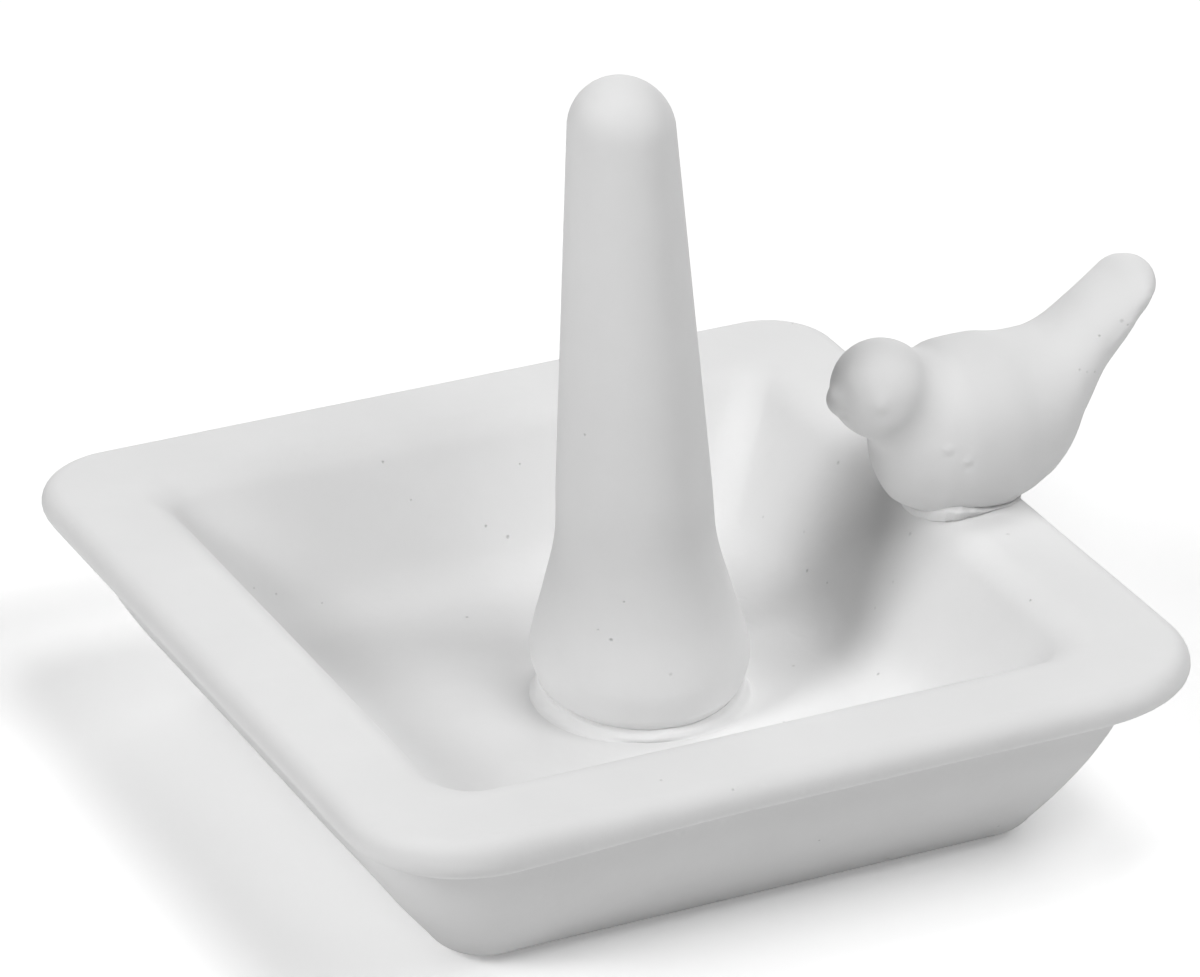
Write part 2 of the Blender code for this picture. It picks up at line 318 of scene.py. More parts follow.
def press_marks(piece: Piece, marks: Sequence[Mark]) -> None:
    """Presses marks into a piece's skin.

    Args:
        piece: The piece.
        marks: The marks.
    """
    bm = bmesh.new()
    bm.from_mesh(piece.data)
    for mark in marks:
        middle = Vector(mark.place)
        for vertex in bm.verts:
            apart = (vertex.co - middle).length
            if apart < mark.radius:
                vertex.co += vertex.normal * mark.rise * (1 - smoothstep(apart, 0, mark.radius))
    bm.to_mesh(piece.data)
    bm.free()


def unevenness(place: Vector, size: float, seed: Seed) -> float:
    """Gives the hand-made unevenness at a place, from about -1 to 1, in waves of a size."""
    return noise.noise(place / size + Vector((seed.value, seed.value, seed.value)))


def put_in_place(piece: Piece, node: str, material: bpy.types.Material) -> None:
    """Lets a piece stand for its CAD node.

    Args:
        piece: The piece.
        node: The CAD node's name.
        material: The piece's finish.
    """
    piece.data.materials.clear()
    piece.data.materials.append(material)
    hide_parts(node)
    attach(piece, ROOT)


# Finishes


@dataclass(frozen=True)
class Pit:
    """A pinhole where a bubble burst in the firing, deep or shallow; its share sets both its depth and how dark its
    painted shade is.
    """

    place: tuple[float, float, float]
    radius: float
    depth_share: float


def read_pits(*rows: tuple[float, ...]) -> tuple[Pit, ...]:
    """Reads pits from rows of a place and a radius in millimetres, and a share of the full depth and of the full
    painted shade.
    """
    return tuple(Pit((x * MM, y * MM, z * MM), radius * MM, share) for x, y, z, radius, share in rows)


POST_PITS = read_pits(
    (-4.82, -9.69, 21.08, 0.28, 1.0),
    (0.72, -13.61, 17.33, 0.3, 0.6),
    (-3.19, -9.51, 25.39, 0.22, 0.9),
    (-5.78, -8.36, 21.91, 0.2, 0.6),
)
DISH_PITS = read_pits(
    (2.76, 31.78, 12.84, 0.31, 1.0),
    (-6.79, 22.82, 8.8, 0.28, 1.0),
    (0.39, 32.76, 14.34, 0.23, 1.0),
    (-10.3, 38.06, 22.49, 0.23, 1.0),
    (6.34, 36.09, 19.58, 0.2, 0.8),
    (-7.99, 35.37, 18.32, 0.2, 0.7),
    (-29.62, 31.49, 13.5, 0.2, 0.7),
    (-26.91, 31.41, 12.17, 0.2, 0.7),
    (-21.78, 30.01, 10.52, 0.19, 0.6),
    (37.54, 16.29, 22.13, 0.36, 0.7),
    (31.01, 11.06, 11.97, 0.34, 1.0),
    (31.31, 6.74, 12.39, 0.24, 0.7),
    (31.7, 23.37, 13.09, 0.24, 0.5),
    (32.75, 15.24, 14.69, 0.26, 0.4),
    (32.16, -3.2, 13.71, 0.26, 0.4),
    (34.14, -3.63, 16.82, 0.26, 0.4),
    (28.55, -10.85, 9.75, 0.28, 0.9),
    (21.57, -3.54, 8.8, 0.3, 0.5),
    (14.47, -14.82, 8.8, 0.24, 0.6),
    (37.13, -1.88, 21.49, 0.36, 0.6),
    (43.99, -12.16, 24.8, 0.36, 0.5),
    (-17.34, -46.36, 24.8, 0.24, 0.6),
    (-10.79, -50.38, 24.06, 0.24, 0.6),
)
BIRD_PITS = read_pits(
    (61.8, -5.22, 44.82, 0.34, 0.7),
    (62.41, -5.56, 44.35, 0.2, 0.5),
    (56.03, -6.12, 40.23, 0.24, 0.5),
    (57.98, -6.18, 39.61, 0.22, 0.5),
    (56.9, -6.25, 39.85, 0.2, 0.4),
)


def add_node(tree: Tree, kind: str, inputs: dict[str | int, object], **settings: object) -> bpy.types.Node:
    """Adds a node to a material or to the world.

    Args:
        tree: The nodes.
        kind: The node's kind.
        inputs: For each input, the socket that feeds it or the value that it has.
        settings: The node's settings.

    Returns:
        The node.
    """
    node = configured(tree.nodes.new(f"ShaderNode{kind}"), **settings)
    for name, value in inputs.items():
        if isinstance(value, Socket):
            tree.links.new(value, node.inputs[name])
        else:
            node.inputs[name].default_value = value
    return node


def add_math(tree: Tree, operation: str, first: Socket, second: Socket | float) -> Socket:
    """Adds a sum of a kind, of a socket and a socket or a number, and gives its result."""
    return add_node(tree, "Math", {0: first, 1: second}, operation=operation).outputs["Value"]


def add_noise(tree: Tree, place: Socket, size: float, detail: float) -> Socket:
    """Adds blotches of a size with a number of finer layers, and gives their strength from 0 to 1."""
    return add_node(tree, "TexNoise", {"Vector": place, "Scale": 1 / size, "Detail": detail}).outputs["Fac"]


def add_disc(tree: Tree, distance: Socket, radius: float) -> Socket:
    """Adds a soft-edged round spot, and gives 1 at its middle and 0 beyond its radius."""
    limits = {"Value": distance, "From Min": 0.0, "From Max": radius, "To Min": 1.0, "To Max": 0.0}
    return add_node(tree, "MapRange", limits, interpolation_type="SMOOTHSTEP").outputs["Result"]


def add_spots(tree: Tree, place: Socket, spacing: float, radius: float) -> Socket:
    """Adds round spots spread at random, about as far apart as the spacing, and gives 1 in a spot's middle."""
    spread = add_node(tree, "TexVoronoi", {"Vector": place, "Scale": 1 / spacing, "Randomness": 1.0}, feature="F1")
    return add_disc(tree, spread.outputs["Distance"], radius / spacing)


@dataclass(frozen=True)
class Bisque:
    """Unglazed, fired clay: matte, faintly mottled, with a fine grain and a few pinholes, which are dented and painted
    darker as painted shade.
    """

    name: str
    colour: Colour = (0.80, 0.80, 0.80)
    roughness: float = 0.85
    sheen_share: float = 0.10
    mottle_size: float = 0.011
    mottle_layers: float = 4.0
    mottle_share: float = 0.035
    ripple_size: float = 0.006
    ripple_layers: float = 2.0
    ripple_depth: float = 0.00010
    grain_size: float = 0.0009
    grain_layers: float = 3.0
    grain_depth: float = 0.000012
    speck_spacing: float = 0.0085
    speck_radius: float = 0.00022
    # Painted shade: the grey that the pinholes are painted, standing in for the shade inside them
    pinhole_shade_colour: Colour = (0.56, 0.56, 0.56)
    speck_depth_share: float = 0.5
    pock_spacing: float = 0.0034
    pock_radius: float = 0.0007
    pock_depth: float = 0.000018
    pits: tuple[Pit, ...] = ()

    def make(self) -> bpy.types.Material:
        """Builds the material from nodes.

        Returns:
            The material.
        """
        material = bpy.data.materials.new(self.name)
        material.use_nodes = True
        material.diffuse_color = (*self.colour, 1)
        tree = material.node_tree
        shader = tree.nodes["Principled BSDF"]
        shader.inputs["Roughness"].default_value = self.roughness
        shader.inputs["Metallic"].default_value = 0.0
        shader.inputs["Specular IOR Level"].default_value = self.sheen_share
        place = tree.nodes.new("ShaderNodeTexCoord").outputs["Object"]
        mottle = add_noise(tree, place, self.mottle_size, self.mottle_layers)
        pit_shade_and_depth = self.pit_shade_and_depth(tree, place)
        shares = 1 - self.mottle_share, 1 + self.mottle_share
        darker, lighter = ((*(level * share for level in self.colour), 1) for share in shares)
        tint = add_node(tree, "Mix", {"Factor": mottle, "A": darker, "B": lighter}, data_type="RGBA")
        # Painted shade: the pinholes are mixed towards a darker grey, as if shade lay in them
        colours = {"Factor": pit_shade_and_depth, "A": tint.outputs["Result"], "B": (*self.pinhole_shade_colour, 1)}
        dark = add_node(tree, "Mix", colours, data_type="RGBA")
        tree.links.new(dark.outputs["Result"], shader.inputs["Base Color"])
        ripple = add_noise(tree, place, self.ripple_size, self.ripple_layers)
        grain = add_noise(tree, place, self.grain_size, self.grain_layers)
        height = add_math(tree, "ADD", add_math(tree, "MULTIPLY", ripple, self.ripple_depth / self.grain_depth), grain)
        pocks = add_spots(tree, place, self.pock_spacing, self.pock_radius)
        for spots, depth in ((pit_shade_and_depth, self.speck_radius * self.speck_depth_share), (pocks, self.pock_depth)):
            drop = add_math(tree, "MULTIPLY", spots, depth / self.grain_depth)
            height = add_math(tree, "SUBTRACT", height, drop)
        bump = add_node(tree, "Bump", {"Distance": self.grain_depth, "Height": height})
        tree.links.new(bump.outputs["Normal"], shader.inputs["Normal"])
        return material

    def pit_shade_and_depth(self, tree: Tree, place: Socket) -> Socket:
        """Adds the pinholes: one for each pit, and small ones spread at random.

        Args:
            tree: The material's nodes.
            place: The coordinates that they read.

        Returns:
            The output socket, 1 in the middle of a deep pinhole and 0 outside them all; it sets both the painted shade
            and the depth.
        """
        total = add_spots(tree, place, self.speck_spacing, self.speck_radius)
        for pit in self.pits:
            apart = add_node(tree, "VectorMath", {0: place, 1: pit.place}, operation="DISTANCE")
            spot = add_disc(tree, apart.outputs["Value"], pit.radius)
            total = add_math(tree, "MAXIMUM", total, add_math(tree, "MULTIPLY", spot, pit.depth_share))
        return total


# Pieces


@dataclass
class Station:
    """One place on the dish's section: how far out, how round its corners are, how high, and how much it sags."""

    half: float
    rounding: float
    height: float
    sag: float = 0.0


@dataclass(frozen=True)
class SlipSpot:
    """How the slip lies at one bearing round the post's foot.

    It leaves the bulb at a height, stands out to a belly radius and runs out on the floor at a toe radius.
    """

    bearing: float
    height: float
    belly: float
    toe: float


@dataclass(frozen=True)
class SeatSpot:
    """How the slip lies at one bearing round the bird's seat.

    It covers a width of the rim, its ledge stands at a height over the crease, and a groove runs in under its face.
    """

    bearing: float
    width: float
    height: float
    groove: float


Spot = TypeVar("Spot", SlipSpot, SeatSpot)


def read_spots(kind: type[Spot], *rows: tuple[float, ...]) -> tuple[Spot, ...]:
    """Reads spots from rows of a bearing in degrees and sizes in millimetres."""
    return tuple(kind(bearing, *(size * MM for size in sizes)) for bearing, *sizes in rows)


POST_SLIP = read_spots(
    SlipSpot,
    (-165.0, 1.7, 11.65, 12.45),
    (-138.0, 1.2, 11.72, 12.22),
    (-122.0, 1.0, 11.86, 11.7),
    (-104.0, 1.0, 11.9, 11.74),
    (-86.0, 1.0, 11.78, 12.15),
    (-55.0, 1.3, 11.72, 12.45),
    (-24.0, 2.1, 12.05, 12.65),
    (10.0, 1.7, 11.8, 12.65),
    (80.0, 1.6, 11.8, 12.65),
    (157.0, 2.4, 11.9, 12.65),
    (195.0, 1.7, 11.65, 12.45),
)
BIRD_SLIP = read_spots(
    SeatSpot,
    (-180.0, 1.0, 0.12, 0.03),
    (-160.0, 0.8, 0.34, 0.06),
    (-140.0, 1.3, 0.82, 0.28),
    (-129.0, 1.9, 1.08, 0.42),
    (-119.0, 1.9, 1.04, 0.36),
    (-108.0, 1.4, 0.78, 0.2),
    (-95.0, 1.0, 0.4, 0.06),
    (-79.0, 0.7, 0.14, 0.01),
    (-66.0, 0.5, 0.07, 0.01),
    (-45.0, 0.4, 0.06, 0.01),
    (-25.0, 0.5, 0.06, 0.01),
    (0.0, 0.4, 0.06, 0.01),
    (40.0, 0.8, 0.4, 0.03),
    (80.0, 1.2, 0.5, 0.03),
    (125.0, 1.4, 0.6, 0.08),
    (155.0, 1.2, 0.2, 0.04),
    (180.0, 1.0, 0.12, 0.03),
)


def spot_at(spots: Sequence[Spot], bearing: float) -> Spot:
    """Gives how slip lies on any bearing.

    Args:
        spots: How it lies at some bearings, in their order.
        bearing: The bearing in degrees, from the first spot's to the last one's.

    Returns:
        The slip there.
    """
    for low, high in zip(spots, spots[1:]):
        if low.bearing <= bearing <= high.bearing:
            share = smoothstep(bearing, low.bearing, high.bearing)
            sizes = [between(share, 0, 1, *pair) for pair in zip(astuple(low)[1:], astuple(high)[1:])]
            return type(low)(bearing, *sizes)
    return spots[0]


class Section(NamedTuple):
    """The dish's section: base and wall, lip, rim, and inner wall with the floor's edge."""

    outside: Ring
    lip: Ring
    rim: Ring
    inside: Ring


@dataclass
class Dish:
    """The square tray with its broad rim and sloping walls."""

    width: float = 0.102
    depth: float = 0.0248
    corner_radius: float = 0.0134
    base_inset: float = 0.0155
    base_rounding: float = 0.0061
    base_corner_radius: float = 0.005
    wall_bulge: float = 0.0008
    lip_thickness: float = 0.0044
    lip_overhang: float = 0.0024
    lip_corner_radius: float = 0.018
    lip_groove: float = 0.0005
    groove_start: float = 0.66
    lip_sag: float = 0.0010
    sag_foot: float = 0.006
    sag_across: tuple[float, float] = (-0.044, -0.008)
    sag_along: tuple[float, float] = (-0.049, -0.036)
    rim_flat: float = 0.0089
    rim_inner_rounding: float = 0.0051
    inner_corner_radius: float = 0.0055
    floor_thickness: float = 0.0088
    floor_rounding: float = 0.0076
    floor_corner_radius: float = 0.0075
    vent_radius: float = 0.0015
    vent_place: tuple[float, float] = (0.0061, -0.0019)
    waviness: float = 0.00012
    wave_size: float = 0.021
    wave_middle: float = 0.6
    wave_reach: tuple[float, float] = (0.02, 0.05)
    sharp_angle: float = math.radians(50)
    corner_steps: int = 14
    side_steps: int = 26
    arc_steps: int = 12
    wall_steps: int = 10
    lip_steps: int = 18
    flat_steps: int = 5
    floor_steps: int = 10
    base_steps: int = 4
    # The four corners differ: reach across and along, then rounding, each a share of the dish's
    corner_shares: tuple[tuple[float, float, float], ...] = (
        (1.000, 1.000, 0.60),
        (0.993, 1.012, 0.75),
        (1.000, 1.000, 0.95),
        (1.000, 1.000, 1.00),
    )

    def ring(self, station: Station) -> Ring:
        """Lays a rounded square round the dish.

        Args:
            station: Its place on the section.

        Returns:
            Its points.
        """
        corners = []
        for corner, (across_share, along_share, rounding_share) in enumerate(self.corner_shares):
            start = corner * QUARTER
            middle = start + QUARTER / 2
            radius = station.rounding * rounding_share
            across = math.copysign(station.half * across_share - radius, math.cos(middle))
            along = math.copysign(station.half * along_share - radius, math.sin(middle))
            corners.append(arc(Vector((across, along)), radius, start, start + QUARTER, self.corner_steps))
        points = []
        for here, after in zip(corners, corners[1:] + corners[:1]):
            points += here + [here[-1].lerp(after[0], i / self.side_steps) for i in range(1, self.side_steps)]
        heights = [station.height - station.sag * self.corner_share(point) for point in points]
        return [Vector((point.x, point.y, height)) for point, height in zip(points, heights)]

    def corner_share(self, point: Vector) -> float:
        """Gives how much of the lip's sag a place has: all at the front's left end, less along the front."""
        return (1 - smoothstep(point.x, *self.sag_across)) * (1 - smoothstep(point.y, *self.sag_along))

    def vent_ring(self, height: float, count: int) -> Ring:
        """Lays the vent's round edge at a height, point for point with the square rings."""
        circle = arc(Vector(self.vent_place), self.vent_radius, math.pi / count, math.pi / count + math.tau, count)
        return [Vector((point.x, point.y, height)) for point in circle[:-1]]

    def base_half(self) -> float:
        """Gives half the width of the base, measured to where the wall's line would meet the ground."""
        return self.width / 2 - self.base_inset

    def outline(self) -> Section:
        """Works out the dish's section.

        Returns:
            The section, as points (across, up).
        """
        lip_radius = self.lip_thickness / 2
        lip_centre = Vector((self.width / 2 - lip_radius, self.depth - lip_radius))
        lip_end = -math.acos((lip_radius - self.lip_overhang) / lip_radius)
        lip = arc(lip_centre, lip_radius, lip_end, QUARTER, self.lip_steps)
        crease = lip[0]
        base_half = self.base_half()
        slope = math.atan2(crease.y, crease.x - base_half)
        flat_base = base_half - self.base_rounding * math.tan(slope / 2)
        base_centre = Vector((flat_base, self.base_rounding))
        base = arc(base_centre, self.base_rounding, -QUARTER, slope - QUARTER, self.arc_steps)
        wall = []
        for i in range(1, self.wall_steps):
            share = i / self.wall_steps
            bulge = Vector((math.sin(slope), -math.cos(slope))) * self.wall_bulge * math.sin(math.pi * share)
            groove = Vector((self.lip_groove * smoothstep(share, self.groove_start, 1), 0))
            wall.append(base[-1].lerp(crease, share) + bulge - groove)
        wall.append(crease - Vector((self.lip_groove, 0)))
        rim_end = self.width / 2 - self.rim_flat
        flat = [lip[-1].lerp(Vector((rim_end, self.depth)), i / self.flat_steps) for i in range(1, self.flat_steps)]
        rim_centre = Vector((rim_end, self.depth - self.rim_inner_rounding))
        rim = arc(rim_centre, self.rim_inner_rounding, QUARTER, QUARTER + slope, self.arc_steps)
        fall = rim[-1].y - self.floor_thickness - self.floor_rounding
        floor_edge = rim[-1].x - (self.floor_rounding + fall * math.cos(slope)) / math.sin(slope)
        floor_centre = Vector((floor_edge, self.floor_thickness + self.floor_rounding))
        floor = arc(floor_centre, self.floor_rounding, slope - QUARTER, -QUARTER, self.arc_steps)
        inside = [rim[-1].lerp(floor[0], i / self.wall_steps) for i in range(1, self.wall_steps)]
        return Section(base + wall, lip + flat, rim, inside + floor)

    def stations(self) -> list[Station]:
        """Adds the corners' rounding to the section.

        Returns:
            The stations from the base's edge over the rim to the floor's edge.
        """
        outside, lip, rim, inside = self.outline()
        crease, base_half, half_width = lip[0], self.base_half(), self.width / 2
        stations = []
        for point in outside:
            rounding = between(point.x, base_half, crease.x, self.base_corner_radius, self.lip_corner_radius)
            sag = self.lip_sag * smoothstep(point.y, self.sag_foot, crease.y)
            stations.append(Station(point.x, max(rounding, self.base_corner_radius), point.y, sag))
        for point in lip:
            if point.y < self.depth - self.lip_thickness / 2:
                rounding = between(point.x, crease.x, half_width, self.lip_corner_radius, self.corner_radius)
            else:
                rounding = self.corner_radius - (half_width - point.x)
            sag = self.lip_sag * (1 - smoothstep(point.y, crease.y, self.depth))
            stations.append(Station(point.x, rounding, point.y, sag))
        floor_end, rim_start = inside[-1].x, rim[0].x
        for point in rim + inside:
            rounding = between(point.x, floor_end, rim_start, self.floor_corner_radius, self.inner_corner_radius)
            stations.append(Station(point.x, rounding, point.y))
        return stations

    def build(self) -> Piece:
        """Builds the dish as one closed casting with its vent.

        Returns:
            The dish.
        """
        rings = [self.ring(station) for station in self.stations()]
        count = len(rings[0])
        low_vent, high_vent = self.vent_ring(0, count), self.vent_ring(self.floor_thickness, count)
        floor = [self.shrunk(rings[-1], high_vent, i / self.floor_steps) for i in range(1, self.floor_steps)]
        base = [self.shrunk(low_vent, rings[0], i / self.base_steps) for i in range(1, self.base_steps)]
        bm, _ = skin([low_vent] + base + rings + floor + [high_vent, low_vent], capped=False)
        for vertex in bm.verts:
            vertex.co += self.hand(vertex.co)
        dish = finished("cast_dish", bm)
        dish.data.set_sharp_from_angle(angle=self.sharp_angle)
        return dish

    def shrunk(self, start: Ring, end: Ring, share: float) -> Ring:
        """Lays a ring between two others, a share of the way from the first."""
        return [a.lerp(b, share) for a, b in zip(start, end)]

    def hand(self, place: Vector) -> Vector:
        """Gives how far the maker's hand moved a place on the dish.

        Args:
            place: The place.

        Returns:
            The move.
        """
        out = Vector((place.x, place.y, 0))
        reach = smoothstep(out.length, *self.wave_reach)
        wave = abs(unevenness(place, self.wave_size, Seed.HAND) - self.wave_middle)
        return -out.normalized() * wave * self.waviness * reach if out.length else Vector()


@dataclass
class RingPost:
    """The tall hollow post for finger rings."""

    height: float = 0.0755
    top_radius: float = 0.0060
    top_height: float = 0.0695
    neck_radius: float = 0.0091
    neck_height: float = 0.0198
    shaft_radius: float = 0.0087
    shaft_height: float = 0.0268
    bulb_radius: float = 0.0124
    bulb_height: float = 0.0062
    foot_radius: float = 0.0110
    foot_turn: float = 0.0010
    foot_height: float = 0.0026
    foot_share: float = 0.4
    core_foot_radius: float = 0.0050
    core_top_radius: float = 0.0026
    core_steps: int = 6
    crown_wall: float = 0.0060
    place: tuple[float, float, float] = (0.0031, -0.0019, 0.0088)
    lean_angle: float = math.radians(2.7)
    lean_bearing: float = math.radians(153)
    sides: int = 96
    curve_steps: int = 12
    sharp_angle: float = math.radians(50)

    def outline(self) -> Ring:
        """Draws the post's side from its foot to its crown.

        Returns:
            Its points (radius, height).
        """
        stations = [
            Vector((self.foot_radius - self.foot_turn, 0)),
            Vector((self.foot_radius - self.foot_share * self.foot_turn, self.foot_share * self.foot_height)),
            Vector((self.foot_radius + (1 - self.foot_share) * self.foot_turn, self.foot_height)),
            Vector((self.bulb_radius, self.bulb_height)),
            Vector(((self.bulb_radius + self.neck_radius) / 2, (self.bulb_height + self.neck_height) / 2)),
            Vector((self.neck_radius, self.neck_height)),
            Vector((self.shaft_radius, self.shaft_height)),
            Vector((self.top_radius, self.top_height)),
        ]
        side = [point.to_2d() for point in smooth_curve(stations, self.curve_steps)]
        rise = self.height - self.top_height
        for point in arc(Vector((0, 0)), 1.0, 0.0, QUARTER, self.curve_steps)[1:-1]:
            side.append(Vector((self.top_radius * point.x, self.top_height + rise * point.y)))
        return side + [Vector((0, self.height))]

    def core(self) -> Ring:
        """Draws the hollow inside the post from its top to the foot.

        Returns:
            Its points (radius, height).
        """
        top = self.height - self.crown_wall
        middle = Vector((0, top - self.core_top_radius))
        dome = arc(middle, self.core_top_radius, QUARTER, 0.0, self.core_steps)
        dome[0] = Vector((0, top))
        return dome + [Vector((self.core_foot_radius, self.bulb_height)), Vector((self.core_foot_radius, 0))]

    def leaning(self) -> Matrix:
        """Gives the shear that leans the post and keeps each level round.

        Returns:
            The matrix, for a shape that stands on its place.
        """
        shear = Matrix.Identity(4)
        shear[0][2] = math.tan(self.lean_angle) * math.cos(self.lean_bearing)
        shear[1][2] = math.tan(self.lean_angle) * math.sin(self.lean_bearing)
        return Matrix.Translation(self.place) @ shear

    def build(self) -> Piece:
        """Turns the post, with its hollow, and leans it.

        Returns:
            The post.
        """
        bm = turned(self.core() + self.outline(), self.sides)
        bmesh.ops.transform(bm, matrix=self.leaning(), verts=bm.verts)
        post = finished("cast_ring_post", bm)
        post.data.set_sharp_from_angle(angle=self.sharp_angle)
        return post


@dataclass
class PostSlip:
    """The slip round the post's foot: a brushed fillet, with a harder edge at the front."""

    post: RingPost
    spots: tuple[SlipSpot, ...] = POST_SLIP
    # Points on the face: the share of the way from the crest to the belly, or from there to the toe, and the share
    # of the slip's height
    upper_shape: Pairs = ((0.0, 1.0), (0.7, 0.88), (1.0, 0.52))
    lower_shape: Pairs = ((0.32, 0.18), (0.68, 0.05), (1.0, 0.0))
    back_share: float = 0.5
    sides: int = 240
    curve_steps: int = 4
    depth: float = 0.0006
    lump_size: float = 0.0018
    lump_height: float = 0.00012
    brush_size: float = 0.22
    brush_share: float = 0.16

    def section(self, spot: SlipSpot, outline: Ring) -> Ring:
        """Draws the slip's section, from inside the bulb over its face and back inside the floor.

        Args:
            spot: How the slip lies there.
            outline: The post's side.

        Returns:
            Its points (radius, height).
        """
        crest, height = self.radius_at(outline, spot.height), spot.height
        face = [Vector((between(out, 0, 1, crest, spot.belly), height * up)) for out, up in self.upper_shape]
        face += [Vector((between(out, 0, 1, spot.belly, spot.toe), height * up)) for out, up in self.lower_shape]
        back = self.post.foot_radius - self.depth
        inside = [
            Vector((spot.toe, -self.depth)),
            Vector((back, -self.depth)),
            Vector((back, height * self.back_share)),
            Vector((crest - self.depth, height)),
        ]
        return [point.to_2d() for point in smooth_curve(face, self.curve_steps)] + inside

    def build(self) -> Piece:
        """Sweeps the slip's section round the foot and brushes it uneven.

        Returns:
            The slip.
        """
        outline = self.post.outline()
        rings = []
        for i in range(self.sides):
            bearing = self.spots[0].bearing + 360 * i / self.sides
            turn = Matrix.Rotation(math.radians(bearing), 4, "Z")
            stroke = unevenness(turn @ Vector((1, 0, 0)), self.brush_size, Seed.BRUSH)
            spot = spot_at(self.spots, bearing)
            spot = replace(spot, height=spot.height * (1 + self.brush_share * stroke))
            rings.append([turn @ Vector((point.x, 0, point.y)) for point in self.section(spot, outline)])
        bm, _ = skin(rings + rings[:1], capped=False)
        for vertex in bm.verts:
            proud = math.hypot(vertex.co.x, vertex.co.y) - self.radius_at(outline, max(vertex.co.z, 0))
            if proud > 0 and vertex.co.z > 0:
                lump = unevenness(vertex.co, self.lump_size, Seed.LUMP) * smoothstep(proud, 0, self.depth / 2)
                vertex.co += Vector((vertex.co.x, vertex.co.y, 0)).normalized() * lump * self.lump_height
        bmesh.ops.transform(bm, matrix=self.post.leaning(), verts=bm.verts)
        return finished("post_slip_bead", bm)

    def radius_at(self, outline: Ring, height: float) -> float:
        """Measures the post's radius.

        Args:
            outline: The post's side.
            height: The height above its foot.

        Returns:
            The radius there.
        """
        for low, high in zip(outline, outline[1:]):
            if low.y <= height <= high.y:
                return between(height, low.y, high.y, low.x, high.x)
        return outline[-1].x


